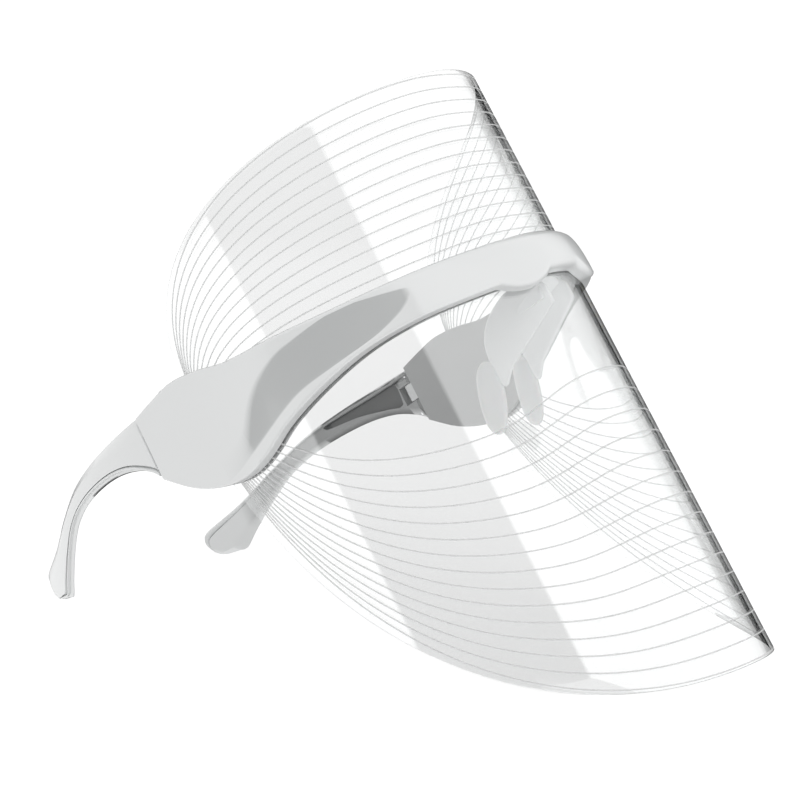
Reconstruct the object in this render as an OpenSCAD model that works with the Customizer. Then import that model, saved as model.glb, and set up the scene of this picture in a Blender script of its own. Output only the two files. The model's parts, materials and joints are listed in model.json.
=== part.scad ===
// Light therapy face mask: two clear light-guide shields held in a brow frame that
// is worn like a pair of glasses, with folding ear arms, a nose bridge, a battery,
// a control board and two rows of lamps that light the shields' hidden edges.
//
// Every piece is drawn as it is worn: X to the wearer's left, Y to the back, Z up,
// with the origin on the outer face of the shields at the middle of the front.
// resting() then tips the whole mask forward onto its shield and its two ear tips,
// as it stands on a table, with the floor at Z = 0.

/* [Shields] */
// Radius of the bend across the nose
front_r = 45; // [44:1:46]
// Half angle that the front bend covers, in degrees
front_angle = 30; // [29:0.5:31]
// Radius of the bend over each cheek
side_r = 115; // [113:1:117]
// Straight length behind each cheek bend
shield_straight = 3; // [1:0.5:5]
// Height of the upper shield's top above the origin
shield_top = 91; // [80:1:100]
// Depth of the lower shield's chin edge below the origin
shield_bottom = 142; // [138:1:146]
// Thickness of the clear sheet
shield_t = 1.2; // [1:0.1:1.2]

/* [Frame] */
// How far the frame stands proud of the shields
frame_out = 5.5; // [5.3:0.1:5.7]
// How far the inner cover stands behind the shields' outer face
frame_in = 3; // [2.9:0.1:3.2]
// Wall thickness of the outer shell
frame_wall = 1.5; // [1.3:0.1:1.6]
// Where the frame ends and the ear arms begin
hinge_y = 130; // [129:0.5:131]
// How deep the shields' hidden edges reach into the frame
tongue = 4; // [3.5:0.25:4.5]

/* [Ear arms] */
// How far each ear arm bows inwards at its tip
arm_bow = 33; // [28:1:36]
// Thickness of an ear arm behind the ear
arm_t = 4.2; // [3.8:0.1:4.6]
// Radius of the hinge pins
pin_r = 1; // [0.9:0.05:1.1]
// Running clearance of the hinge pins in the knuckles
pin_play = 0.05; // [0.03:0.01:0.08]

/* [Pose] */
// How far the mask leans forward when it stands on a table, in degrees
lean = 32; // [31:0.5:33]

/* [Lamps] */
// Lamps in each row
lamps = 24; // [12:2:30]
// Length of one lamp
lamp_w = 2.8; // [2:0.1:3]

/* [Controls] */
// Travel of the power button
button_travel = 0.5; // [0.3:0.1:0.5]
// Play around the power button
button_play = 0.2; // [0.15:0.05:0.25]

/* [Hidden] */
$fn = 144;

// Centre of each cheek bend, and the half width that it gives
cheek_x = (side_r - front_r) * sin(front_angle);
cheek_y = front_r + (side_r - front_r) * cos(front_angle);
half_w = side_r - cheek_x;
shield_back = cheek_y + shield_straight;
front_arc = front_r * front_angle * PI / 180;
side_arc = side_r * (90 - front_angle) * PI / 180;
half_arc = front_arc + side_arc + shield_straight;

// Heights that the shields' outlines run out to at the back
top_end = 24;
bottom_end = 5;
slot_play = 0.1;
cover_gap = 0.05;
far = 400;

// The frame's edges seen from the side, as [y, z]
frame_top_points = [[-8, 24], [0, 24], [22, 24.5], [45, 25.2], [66, 26.8], [84, 28],
    [97, 31.4], [109, 33.1], [119, 32], [hinge_y, 30]];
frame_bottom_points = [[-8, 8], [0, 8], [12, 8.4], [27, 8.8], [43, 7.2], [60, 2.8],
    [75, -2.4], [86, -7.8], [96, -10.2], [107, -8.6], [119, -3], [hinge_y, 5.8]];

// The ear arm's edges seen from the side, as [y, z]
arm_start = hinge_y + 0.4;
arm_top_points = [[arm_start, 30], [145, 30], [166, 29.5], [186, 27.3], [205, 22],
    [222, 16], [238.5, 12.2], [241.4, 9.8], [241.4, 7.2], [239.6, 3]];
arm_bottom_points = [[arm_start, 5.8], [134, 9.4], [145, 15.6], [160, 19], [180, 19.4],
    [196, 16.3], [209, 9.8], [220, 2.6], [226.5, -2.2], [230, -1.8], [236, -0.6]];

// Hinge: the pin's centre and the knuckle that it runs through
pin_x = half_w - 0.6;
pin_y = hinge_y + 2.6;
knuckle_z = [16, 23.2];
knuckle_r = 2.3;
pocket_play = 0.3;
pin_z = [9, 27.6];

// The long hollow on the inner side of the arm, seen from the side, and its depth
hollow_points = [[138, 17.2], [138, 26.4], [150, 27.3], [174, 27], [176.2, 25.8], [174, 24.6],
    [160, 22.6], [146, 18.6], [140.5, 16.7]];
hollow_depth = 2.4;

// Places of the cover screws in one housing and in half the brow, as [y, z]
housing_screws = [[74, 14], [100, -2.6]];
brow_screws_at = [[46, 16.2]];
screw_r = 0.95;
screw_len = 4.6;
head_r = 1.9;
head_h = 0.9;
boss_r = 2.1;
cover_split = 62;

// Lamp strips and the lead that runs beside them, across the frame's depth and up
// from the frame's edge
strip_across = [-1.2, 3.4];
strip_t = 0.8;
lamp_h = 1;
lamp_gap = 0.2;
lead_across = [0.9, 1.9];
lead_up = [6.3, 7.3];
lead_end = 79.4;

// Electronics in the housings, between the cover and the outer wall
cell_size = [17.5, 4.4, 22.8];
cell_depth = 88.25;
cell_out = 1.3;
cell_up = 11;
board_x = 80.9;
board_t = 1;
board_y = 86;
control_x = (2 * half_w + frame_out - frame_in) / 2;
button_y = 114;
button_size = [3.2, 8];
socket_y = 117.5;
socket_size = [3.3, 9, 6.8];
board_top = 25.4;
switch_h = 3;
plunger_h = 0.3;
flange_t = 0.8;
button_flange = board_top + switch_h + plunger_h + button_travel + 0.1;
button_proud = 33.5;

// Nose piece: one plate starts at plate_start in plan and opens by plate_angle
plate_start = [6.5, 2];
plate_angle = 8;
plate_t = 1.8;
plate_front = [[1.7, 11], [1.7, 6.6], [0.5, 5], [0.5, -1.5], [26, -13.6], [31, -18.6]];
plate_rear = [[32.4, -18], [33.2, -11], [32.2, -3], [29.5, 2.4], [25, 6.4], [18, 9.8], [11, 11]];
pad_points = [[31.6, -9], [32, -15], [33.6, -21.5], [36.6, -28], [40, -31.6], [43.4, -31.2],
    [45, -27.4], [44.2, -20.5], [42.2, -14], [39.6, -8.8], [35.6, -6.4], [31.6, -9]];
pad_t = 3.4;
peg_r = 1.2;

/* Curves */
function reversed(list) = [for (i = [len(list) - 1 : -1 : 0]) list[i]];
function curve_point(a, b, c, d, t) = 0.5 * (2 * b + (c - a) * t
    + (2 * a - 5 * b + 4 * c - d) * t * t + (3 * b - a - 3 * c + d) * t * t * t);
// A smooth curve through every point of a list
function curve(p, steps = 5) = concat([for (i = [0 : len(p) - 2], k = [0 : steps - 1])
    curve_point(p[max(i - 1, 0)], p[i], p[i + 1], p[min(i + 2, len(p) - 1)], k / steps)],
    [p[len(p) - 1]]);
function shifted(list, dz) = [for (p = list) [p.x, p.y + dz]];

frame_top = curve(frame_top_points);
frame_bottom = curve(frame_bottom_points);

// Depth of the shields' outer face at arc length s from the middle
function depth(s) = s < front_arc ? front_r * (1 - cos(s / front_r * 180 / PI))
    : s < front_arc + side_arc
        ? cheek_y - side_r * cos(front_angle + (s - front_arc) / side_r * 180 / PI)
        : cheek_y + s - front_arc - side_arc;
function top_edge(u) = top_end + (shield_top - top_end) * pow(1 - pow(u, 3.3), 1 / 2.4);
function bottom_edge(u) = bottom_end
    - (shield_bottom + bottom_end) * pow(1 - pow(u, 2.3), 1 / 1.55);
steps_u = [for (i = [0 : 64]) sin(90 * i / 64)];
shield_low = concat([[-5, -shield_bottom]],
    [for (u = steps_u) [depth(u * half_arc), bottom_edge(u)]]);
shield_high = concat([[-5, shield_top]],
    [for (u = steps_u) [depth(u * half_arc), top_edge(u)]]);
arm_outline = concat(curve(arm_top_points), reversed(curve(arm_bottom_points)));

// Standing on the table: the lowest point of the shield touches the floor
function rest_y(p) = p.x * cos(lean) + p.y * sin(lean);
function rest_z(p) = p.y * cos(lean) - p.x * sin(lean);
floor_z = min([for (p = shield_low) if (p.x >= 0) rest_z(p)]);
rear_y = max([for (p = arm_outline) rest_y(p)]);
front_y = rest_y([0, -shield_bottom]);

module resting() {
    translate([0, -(rear_y + front_y) / 2, -floor_z]) rotate([-lean, 0, 0]) children();
}

/* Building blocks, in the worn frame */

// Everything on the face's side of a surface that runs d outside the shields
module wrap(d, back) {
    difference() {
        intersection() {
            translate([-cheek_x, cheek_y]) circle(side_r + d);
            translate([cheek_x, cheek_y]) circle(side_r + d);
            translate([-far / 2, cheek_y - far]) square(far);
        }
        difference() {
            polygon([[0, front_r], far * [sin(front_angle), -cos(front_angle)],
                far * [-sin(front_angle), -cos(front_angle)]]);
            translate([0, front_r]) circle(front_r + d);
        }
    }
    translate([-half_w - d, cheek_y]) square([2 * (half_w + d), back - cheek_y]);
}

// A side view, as [y, z], carried through from x0 to x1
module side_view(x0, x1) {
    translate([x0, 0, 0]) rotate([90, 0, 90]) linear_extrude(x1 - x0) children();
}

// A skin between two offsets from the shields, cut to the side view given as a child
module skin(outer, inner, back = hinge_y) {
    intersection() {
        translate([0, 0, -far / 2]) linear_extrude(far) difference() {
            wrap(outer, back);
            wrap(inner, back + 1);
        }
        side_view(-far / 2, far / 2) children();
    }
}

// The frame seen from the side, drawn in by dz at its top and bottom edges
module frame_view(dz = 0) {
    polygon(concat(shifted(frame_top, -dz), reversed(shifted(frame_bottom, dz))));
}
// A strip of the side view that follows one edge of the frame
module edge_view(edge, z0, z1) {
    polygon(concat(shifted(edge, z0), reversed(shifted(edge, z1))));
}
module behind(y) { translate([y, -far / 2]) square(far); }
module before(y) { translate([y - far, -far / 2]) square(far); }

module both_sides() {
    children();
    mirror([1, 0, 0]) children();
}

// Puts a child on the shields' outer face at depth y, with -Y pointing outwards
module at_depth(y) {
    angle = y < cheek_y ? acos((cheek_y - y) / side_r) : 90;
    translate([side_r * sin(angle) - cheek_x, y, 0]) rotate([0, 0, angle]) children();
}
// The same at arc length s from the middle
module at_arc(s) {
    if (s < front_arc)
        translate([0, front_r, 0]) rotate([0, 0, s / front_r * 180 / PI])
            translate([0, -front_r, 0]) children();
    else
        translate([-cheek_x, cheek_y, 0])
            rotate([0, 0, front_angle + (s - front_arc) / side_r * 180 / PI])
            translate([0, -side_r, 0]) children();
}
// A rod along Y from depth y0 down to y1
module rod(r, y0, y1) { translate([0, y0, 0]) rotate([90, 0, 0]) cylinder(h = y0 - y1, r = r); }

module at_screws(places) {
    for (p = places) at_depth(p.x) translate([0, 0, p.y]) children();
}
module screw() {
    difference() {
        union() {
            rod(head_r, frame_in, frame_in - head_h);
            rod(screw_r, frame_in - head_h, frame_in - head_h - screw_len);
        }
        for (turn = [0, 90]) translate([0, frame_in, 0]) rotate([0, turn, 0])
            cube([2.2, 0.9, 0.5], center = true);
    }
}
module screw_clearance() {
    rod(head_r + 0.1, frame_in + 1, frame_in - head_h);
    rod(screw_r + 0.15, frame_in, 0);
}
module slot_shape(size, h) {
    r = size.x / 2;
    linear_extrude(h) {
        square([size.x, size.y - size.x], center = true);
        for (end = [-1, 1]) translate([0, end * (size.y / 2 - r)]) circle(r);
    }
}

/* Frame */

module frame_hollow() {
    skin(frame_out - frame_wall, -shield_t - 1, hinge_y - frame_wall) intersection() {
        frame_view(frame_wall);
        before(hinge_y - frame_wall);
    }
}
// The low swellings on each side of the nose notch
module brow_lobes() {
    intersection() {
        skin(frame_out, slot_play) before(front_r / 2);
        rotate([90, 0, 0]) linear_extrude(far, center = true) intersection() {
            for (side = [-1, 1]) translate([side * 19.5, 22.5]) circle(18);
            translate([-far / 2, 0]) square([far, 10]);
        }
    }
}
module knuckle() {
    h = knuckle_z[1] - knuckle_z[0];
    root_x = half_w - shield_t - 0.1;
    translate([pin_x - knuckle_r + 0.1, hinge_y + cover_gap, knuckle_z[0]])
        cube([2 * knuckle_r - 0.1, pin_y + knuckle_r - hinge_y - 0.1, h]);
    translate([root_x, hinge_y - 0.5, knuckle_z[0]]) cube([pin_x + knuckle_r - root_x, 1, h]);
}
module brow_frame() {
    color("whitesmoke") resting() difference() {
        union() {
            difference() {
                union() {
                    skin(frame_out, slot_play) frame_view();
                    skin(slot_play, -shield_t - 0.2 + cover_gap) intersection() {
                        frame_view();
                        behind(shield_back + 0.6);
                    }
                }
                frame_hollow();
            }
            brow_lobes();
            both_sides() {
                at_screws(concat(housing_screws, brow_screws_at))
                    rod(boss_r, shield_t + 0.2 - cover_gap, frame_wall - frame_out - 0.2);
                knuckle();
            }
        }
        both_sides() {
            at_screws(concat(housing_screws, brow_screws_at))
                rod(screw_r, frame_in, frame_in - head_h - screw_len - 0.2);
            translate([pin_x, pin_y, knuckle_z[0] - 1])
                cylinder(h = knuckle_z[1] - knuckle_z[0] + 2, r = pin_r + pin_play);
        }
        translate([-control_x, button_y, knuckle_z[1]])
            slot_shape(button_size + 2 * button_play * [1, 1], 20);
        translate([control_x, socket_y, knuckle_z[1]])
            slot_shape([socket_size.x + 0.2, socket_size.y + 0.2], 20);
    }
}

module cover_skin() {
    difference() {
        skin(-shield_t - 0.2, -frame_in) frame_view();
        both_sides() at_screws(concat(housing_screws, brow_screws_at)) screw_clearance();
    }
}
module brow_back_cover() {
    color("white") resting() difference() {
        intersection() {
            cover_skin();
            side_view(-far / 2, far / 2) before(cover_split);
        }
        both_sides() nose_peg(0);
    }
}
module housing_cover() {
    intersection() {
        cover_skin();
        side_view(0, far / 2) behind(cover_split + 0.1);
    }
}
module left_housing_cover() { color("white") resting() housing_cover(); }
module right_housing_cover() { color("white") resting() mirror([1, 0, 0]) housing_cover(); }

/* Shields */

module shield_view() { polygon(concat(shield_high, reversed(shield_low))); }
module upper_shield() {
    color("aliceblue", 0.4) resting() skin(0, -shield_t, shield_back) difference() {
        shield_view();
        edge_view(shifted(frame_top, -tongue), -far, 0);
    }
}
module lower_shield() {
    color("aliceblue", 0.4) resting() skin(0, -shield_t, shield_back) difference() {
        shield_view();
        edge_view(shifted(frame_bottom, tongue), 0, far);
    }
}

/* Lamps */

module lamp_strip(edge, up) {
    skin(strip_across[1], strip_across[0]) intersection() {
        edge_view(edge, up, up + strip_t);
        before(cover_split);
    }
}
module lamp_row(edge, up) {
    pitch = (front_arc + side_arc) * 1.6 / lamps;
    intersection() {
        skin(0.4, -1.4) edge_view(edge, up, up + lamp_h);
        both_sides() for (i = [0 : lamps / 2 - 1]) at_arc((i + 0.5) * pitch)
            cube([lamp_w, 6, far], center = true);
    }
}
lamp_up = tongue + lamp_gap;
module upper_led_strip() {
    color("ivory") resting() lamp_strip(frame_top, -lamp_up - lamp_h - strip_t);
}
module lower_led_strip() { color("ivory") resting() lamp_strip(frame_bottom, lamp_up + lamp_h); }
module upper_leds() { color("gold") resting() lamp_row(frame_top, -lamp_up - lamp_h); }
module lower_leds() { color("gold") resting() lamp_row(frame_bottom, lamp_up); }

/* Nose piece */

module plate_view(t) {
    translate([plate_start.x, plate_start.y, 0]) rotate([0, 0, -plate_angle])
        side_view(-t / 2, t / 2) children();
}
module nose_peg(out) {
    at_arc(9) translate([0, 0, 14]) rod(peg_r, frame_in + out, shield_t + 0.3);
}
module nose_bridge() {
    color("gainsboro") resting() {
        both_sides() plate_view(plate_t) polygon(concat(plate_front, curve(plate_rear)));
        both_sides() plate_view(1) translate([30, -17]) square([9, 7]);
        both_sides() nose_peg(0.5);
        translate([0, 18, 1]) rotate([90, 0, 0]) linear_extrude(13.4) difference() {
            circle(9.5);
            circle(7.7);
            translate([-10, -20]) square([20, 20]);
        }
        intersection() {
            skin(-frame_in - cover_gap, -frame_in - 1.6) before(front_r / 2);
            rotate([90, 0, 0]) linear_extrude(far, center = true)
                translate([-12.5, 8.5]) square([25, 11]);
        }
    }
}
module nose_pad() {
    difference() {
        plate_view(pad_t) polygon(curve(pad_points, 4));
        plate_view(1) translate([30, -17]) square([9, 7]);
        plate_view(plate_t) polygon(concat(plate_front, curve(plate_rear)));
    }
}
module left_nose_pad() { color("gainsboro") resting() nose_pad(); }
module right_nose_pad() { color("gainsboro") resting() mirror([1, 0, 0]) nose_pad(); }

/* Ear arms */

function arm_out(y) = half_w + frame_out - arm_bow * pow(max(y - arm_start, 0) / 102, 1.35);
function arm_thick(y) = arm_t + (frame_out + frame_in - 0.2 - arm_t) * exp((arm_start - y) / 18);
arm_ys = concat([for (y = [arm_start : 4 : 242]) y], [246]);
module arm_plan(from_out, to_in, extra = 0) {
    linear_extrude(far, center = true) polygon(concat([for (y = arm_ys) [arm_out(y) - from_out, y]],
        reversed([for (y = arm_ys) [arm_out(y) - arm_thick(y) + to_in, y]])));
}
module ear_arm() {
    difference() {
        intersection() {
            arm_plan(0, 0);
            side_view(0, far / 2) polygon(arm_outline);
        }
        // the long hollow
        intersection() {
            linear_extrude(far, center = true) polygon(concat(
                [for (y = arm_ys) [arm_out(y) - arm_thick(y) + hollow_depth, y]],
                reversed([for (y = arm_ys) [arm_out(y) - arm_thick(y) - 3, y]])));
            side_view(0, far / 2) polygon(hollow_points);
        }
        // the knuckle's pocket, the pin's hole and the relief that lets the arm fold
        translate([pin_x - 6, arm_start - 1, knuckle_z[0] - pocket_play])
            cube([9.6, pin_y + 4.6 - arm_start + 1, knuckle_z[1] - knuckle_z[0] + 2 * pocket_play]);
        translate([pin_x, pin_y, 0]) cylinder(h = pin_z[1] + 0.2, r = pin_r);
        translate([0, 0, -far / 4]) linear_extrude(far / 2) polygon([[pin_x - 5, arm_start - 1],
            [pin_x - 5, arm_start + 1.8], [pin_x - 2.2, arm_start + 1.8], [pin_x - 0.2, arm_start],
            [pin_x - 0.2, arm_start - 1]]);
    }
}
module above_floor() {
    difference() {
        children();
        translate([-far / 2, -far / 2, -far]) cube(far);
    }
}
module left_ear_arm() { color("whitesmoke") above_floor() resting() ear_arm(); }
module right_ear_arm() { color("whitesmoke") above_floor() resting() mirror([1, 0, 0]) ear_arm(); }
module hinge_pin() {
    translate([pin_x, pin_y, pin_z[0]]) cylinder(h = pin_z[1] - pin_z[0], r = pin_r);
}
module left_hinge_pin() { color("silver") resting() hinge_pin(); }
module right_hinge_pin() { color("silver") resting() mirror([1, 0, 0]) hinge_pin(); }

/* Electronics */

module battery() {
    color("lightsteelblue") resting() at_depth(cell_depth) translate([0, -cell_out, cell_up])
        cube(cell_size, center = true);
}
module charge_board() {
    color("seagreen") resting() translate([board_x, 113, 6])
        cube([board_t, 9, board_top - 6]);
}
module usb_socket() {
    color("silver") resting() translate([control_x, socket_y, board_top]) difference() {
        slot_shape([socket_size.x, socket_size.y], socket_size.z);
        translate([0, 0, 1]) difference() {
            slot_shape([socket_size.x - 0.6, socket_size.y - 0.6], socket_size.z);
            translate([-0.35, -3.3, -1]) cube([0.7, 6.6, socket_size.z - 0.5]);
        }
    }
}
module control_board() {
    color("seagreen") resting() translate([-board_x - board_t, board_y, 2])
        cube([board_t, 35, board_top - 2]);
}
module board_chips() {
    color("dimgray") resting() for (chip = [[92, 8, 5, 6], [100, 15, 5, 4], [108, 6, 3, 5], [95, 18, 3, 2]])
        translate([-board_x - board_t - 1.1, chip[0], chip[1]]) cube([1.1, chip[2], chip[3]]);
}
module button_switch() {
    color("dimgray") resting() translate([-control_x, button_y, board_top]) {
        translate([-1.7, -3, 0]) cube([3.4, 6, switch_h]);
        translate([0, 0, switch_h]) cylinder(h = plunger_h, r = 1);
    }
}
module power_button() {
    color("lightgray") resting() translate([-control_x, button_y, button_flange]) {
        slot_shape(button_size + [1.2, 1.2], flange_t);
        slot_shape(button_size, button_proud - button_flange);
    }
}
module battery_lead() {
    color("firebrick") resting() {
        difference() {
            skin(lead_across[1], lead_across[0]) intersection() {
                edge_view(frame_bottom, lead_up[0], lead_up[1]);
                before(board_y);
            }
            // the lead ends in front of the cell on the cell's side
            translate([0, lead_end, -far / 2]) cube(far);
        }
        translate([-board_x - board_t, board_y - 1, -1.2]) cube([3, 1, 5.2]);
    }
}

/* Fasteners */

module left_cover_screws() { color("silver") resting() at_screws(housing_screws) screw(); }
module right_cover_screws() {
    color("silver") resting() mirror([1, 0, 0]) at_screws(housing_screws) screw();
}
module brow_screws() { color("silver") resting() both_sides() at_screws(brow_screws_at) screw(); }

brow_frame();
brow_back_cover();
left_housing_cover();
right_housing_cover();
upper_shield();
lower_shield();
upper_led_strip();
lower_led_strip();
upper_leds();
lower_leds();
nose_bridge();
left_nose_pad();
right_nose_pad();
left_ear_arm();
right_ear_arm();
left_hinge_pin();
right_hinge_pin();
battery();
charge_board();
usb_socket();
control_board();
board_chips();
button_switch();
power_button();
battery_lead();
left_cover_screws();
right_cover_screws();
brow_screws();
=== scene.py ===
"""A light therapy face mask: two clear light-guide sheets in a brow frame that is worn like glasses.

Every piece is shaped as it is worn, in millimetres: X to the wearer's left, Y to the back, Z up, with
the origin on the sheets' outer face at the middle of the front. at_rest() tips it onto the table.
"""

import json
import math

import bmesh
import bpy
import numpy as np
from mathutils import Matrix, Vector, geometry


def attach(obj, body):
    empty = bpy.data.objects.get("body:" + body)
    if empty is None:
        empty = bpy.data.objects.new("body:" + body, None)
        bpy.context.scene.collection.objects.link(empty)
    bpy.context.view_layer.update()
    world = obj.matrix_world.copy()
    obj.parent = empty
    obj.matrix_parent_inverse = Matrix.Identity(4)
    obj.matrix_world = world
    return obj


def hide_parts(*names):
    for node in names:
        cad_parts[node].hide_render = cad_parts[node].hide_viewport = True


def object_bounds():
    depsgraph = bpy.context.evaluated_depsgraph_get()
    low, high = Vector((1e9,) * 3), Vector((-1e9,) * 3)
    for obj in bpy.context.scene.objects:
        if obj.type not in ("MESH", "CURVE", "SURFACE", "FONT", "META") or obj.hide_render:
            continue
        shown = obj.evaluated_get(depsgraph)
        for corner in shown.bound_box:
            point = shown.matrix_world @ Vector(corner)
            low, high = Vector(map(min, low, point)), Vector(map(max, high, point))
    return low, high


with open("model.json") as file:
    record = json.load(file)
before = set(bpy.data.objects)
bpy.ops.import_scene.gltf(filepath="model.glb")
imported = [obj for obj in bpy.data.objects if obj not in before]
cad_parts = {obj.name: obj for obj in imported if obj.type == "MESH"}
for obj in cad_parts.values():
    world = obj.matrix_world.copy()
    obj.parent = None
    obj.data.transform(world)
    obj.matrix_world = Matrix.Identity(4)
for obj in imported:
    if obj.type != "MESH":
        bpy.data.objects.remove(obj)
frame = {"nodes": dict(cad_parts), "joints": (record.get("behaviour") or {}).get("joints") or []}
CAD_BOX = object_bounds()

MM = 0.001

# The sheets in plan: a bend over the nose, a wider bend over each cheek, then straight
FRONT_R = 45.0
FRONT_TURN = math.radians(30)
SIDE_R = 115.0
CHEEK_X = (SIDE_R - FRONT_R) * math.sin(FRONT_TURN)
CHEEK_Y = FRONT_R + (SIDE_R - FRONT_R) * math.cos(FRONT_TURN)
FRONT_ARC = FRONT_R * FRONT_TURN
CHEEK_ARC = FRONT_ARC + SIDE_R * (math.pi / 2 - FRONT_TURN)
HALF_ARC = CHEEK_ARC + 3.0
HALF_W = SIDE_R - CHEEK_X
SHEET_T = 1.2
SHEET_TOP = 91.0
SHEET_BOTTOM = -142.0
TOP_SHOULDER = 24.0
BOTTOM_SHOULDER = 5.0
TONGUE = 4.0
# How far the lower sheet's edge is drawn in, so that it ends above the table
EDGE_TRIM = 0.35

# The frame's section: how far it stands out of the sheets, and where its inner cover lies
FRAME_OUT = 5.5
WALL = 1.5
COVER_OUT = -SHEET_T - 0.2
HINGE_Y = 130.0

# The frame's top and bottom edges seen from the side, as (y, z)
FRAME_TOP = [(-8, 24), (0, 24), (22, 24.5), (45, 25.2), (66, 26.8), (84, 28), (97, 31.4), (109, 33.1),
             (119, 32), (130, 30)]
FRAME_BOTTOM = [(-8, 8), (0, 8), (12, 8.4), (27, 8.8), (43, 7.2), (60, 2.8), (75, -2.4), (86, -7.8),
                (96, -10.2), (107, -8.6), (119, -3), (130, 5.8)]

# The creases above and below the long leaf-shaped scoop in each side of the frame
SCOOP_UPPER = [(23.5, 19.8), (31, 21.7), (41, 23.8), (48, 23.6), (59, 21.7), (66.5, 20), (75, 15.5),
               (81, 10.1), (85.5, 4), (90, -2.6), (96, -6.1), (103, -8.2)]
SCOOP_LOWER = [(23.5, 19.8), (25, 16.8), (28.5, 13.8), (35, 10.8), (42, 9.2), (52, 7.8), (64, 6.2),
               (73.5, 3), (84, -1.6), (90.5, -4.6), (97, -7.1), (103, -8.4)]

# The ear arm's edges seen from the side, as (y, z)
ARM_START = HINGE_Y + 0.4
ARM_TOP = [(130.4, 30), (145, 30), (166, 29.5), (186, 27.3), (205, 22), (222, 16), (238.5, 12.2),
           (241.4, 9.8), (241.4, 7.2), (239.6, 3)]
ARM_BOTTOM = [(130.4, 5.8), (134, 9.4), (145, 15.6), (160, 19), (180, 19.4), (196, 16.3), (209, 9.8),
              (220, 2.6), (226.5, -2.2), (230, -1.8), (236, -0.6)]
ARM_HOLLOW = [(138, 17.2), (138, 26.4), (150, 27.3), (174, 27), (176.2, 25.8), (174, 24.6),
              (160, 22.6), (146, 18.6), (140.5, 16.7)]
PIN = Vector((79.4, 132.6, 20.0))
KNUCKLE_Z = (16.0, 23.2)
KNUCKLE_R = 2.25

# Depths between which the arm's long hollow lies, and where its foot begins. The arm's painted shade fills
# the hollow and fades out before the foot
HOLLOW_SPAN = (137, 177)
FOOT_Y = 222

# Nose piece: the plates start at PLATE_START in plan and open backwards by PLATE_TURN
PLATE_START = (6.5, 2.0)
PLATE_TURN = math.radians(8)
PLATE_FRONT = [(1.7, 11), (1.7, 6.6), (0.5, 5), (0.5, -1.5), (26, -13.6), (31, -18.6)]
PLATE_REAR = [(32.4, -18), (33.2, -11), (32.2, -3), (29.5, 2.4), (25, 6.4), (18, 9.8), (11, 11)]
PAD_OUTLINE = [(31.6, -9), (32, -15), (33.6, -21.5), (36.6, -28), (40, -31.6), (43.4, -31.2),
               (45, -27.4), (44.2, -20.5), (42.2, -14), (39.6, -8.8), (35.6, -6.4)]

# Controls on the housings' top edges
CONTROL_X = 81.25
BUTTON_Y = 114.0
BUTTON_SIZE = (3.2, 8.0)
SOCKET_Y = 117.5
SOCKET_SIZE = (3.5, 9.2)

UPPER_LINES = 13
LOWER_LINES = 15
LINE_WIDTH = 0.5
BEHIND_FRAME = 2.5

# The camera, from the middle of the CAD box: how far round it stands, how high, its tilt, its aim
VIEW_TURN = math.radians(54.2)
VIEW_RISE = math.radians(8.2)
VIEW_ROLL = math.radians(-0.7)
VIEW_DISTANCE = 0.745
VIEW_AIM = Vector((-0.0386, -0.0229, -0.0124))

# The grain that spark erosion leaves in a mould, as a noise scale
MOULD_GRAIN = 2600.0

fold = next(j for j in frame["joints"] if j["name"] == "left_arm_fold")
LEAN = math.atan2(fold["axis"][1], fold["axis"][2])
TIP = Matrix.Rotation(-LEAN, 4, "X")
SHIFT = Vector(fold["pos_m"]) - TIP @ (PIN * MM)


def at_rest(point):
    """A worn point in millimetres, as it lies on the table in metres."""
    return TIP @ (Vector(point) * MM) + SHIFT


def as_worn(point):
    """The opposite of at_rest."""
    return TIP.inverted() @ (point - SHIFT) / MM


# ---------------------------------------------------------------- curves


def smooth_curve(points, steps=8):
    """A Catmull-Rom curve through a list of (y, z) points."""
    p = np.array([points[0], *points, points[-1]], float)
    out = []
    for i in range(1, len(p) - 2):
        for k in range(steps):
            t = k / steps
            out.append(0.5 * (2 * p[i] + (p[i + 1] - p[i - 1]) * t
                              + (2 * p[i - 1] - 5 * p[i] + 4 * p[i + 1] - p[i + 2]) * t ** 2
                              + (3 * p[i] - p[i - 1] - 3 * p[i + 1] + p[i + 2]) * t ** 3))
    out.append(p[-1])
    return np.array(out)


def height_curve(points):
    """A function that gives the height z of a curve at depth y."""
    line = smooth_curve(points)
    return lambda y: float(np.interp(y, line[:, 0], line[:, 1]))


def along_curve(points):
    """A function that gives the (y, z) point at a fraction of a curve's length."""
    line = smooth_curve(points)
    run = np.concatenate([[0], np.cumsum(np.linalg.norm(np.diff(line, axis=0), axis=1))])
    run /= run[-1]
    return lambda t: np.array([np.interp(t, run, line[:, 0]), np.interp(t, run, line[:, 1])])


frame_top = height_curve(FRAME_TOP)
frame_bottom = height_curve(FRAME_BOTTOM)
scoop_upper = height_curve(SCOOP_UPPER)
scoop_lower = height_curve(SCOOP_LOWER)


def plan(s, out=0.0):
    """(x, y) at arc length s from the middle along the sheets' outer face, moved out of it."""
    a = abs(s)
    if a < FRONT_ARC:
        turn = a / FRONT_R
        x = (FRONT_R + out) * math.sin(turn)
        y = FRONT_R - (FRONT_R + out) * math.cos(turn)
    elif a < CHEEK_ARC:
        turn = FRONT_TURN + (a - FRONT_ARC) / SIDE_R
        x = (SIDE_R + out) * math.sin(turn) - CHEEK_X
        y = CHEEK_Y - (SIDE_R + out) * math.cos(turn)
    else:
        x = HALF_W + out
        y = CHEEK_Y + a - CHEEK_ARC
    return math.copysign(x, s), y


def arc_at_depth(y):
    """Arc length at which the sheets' outer face reaches depth y."""
    if y < FRONT_R * (1 - math.cos(FRONT_TURN)):
        return FRONT_R * math.acos(1 - y / FRONT_R)
    if y < CHEEK_Y:
        return FRONT_ARC + SIDE_R * (math.acos((CHEEK_Y - y) / SIDE_R) - FRONT_TURN)
    return CHEEK_ARC + y - CHEEK_Y


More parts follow.
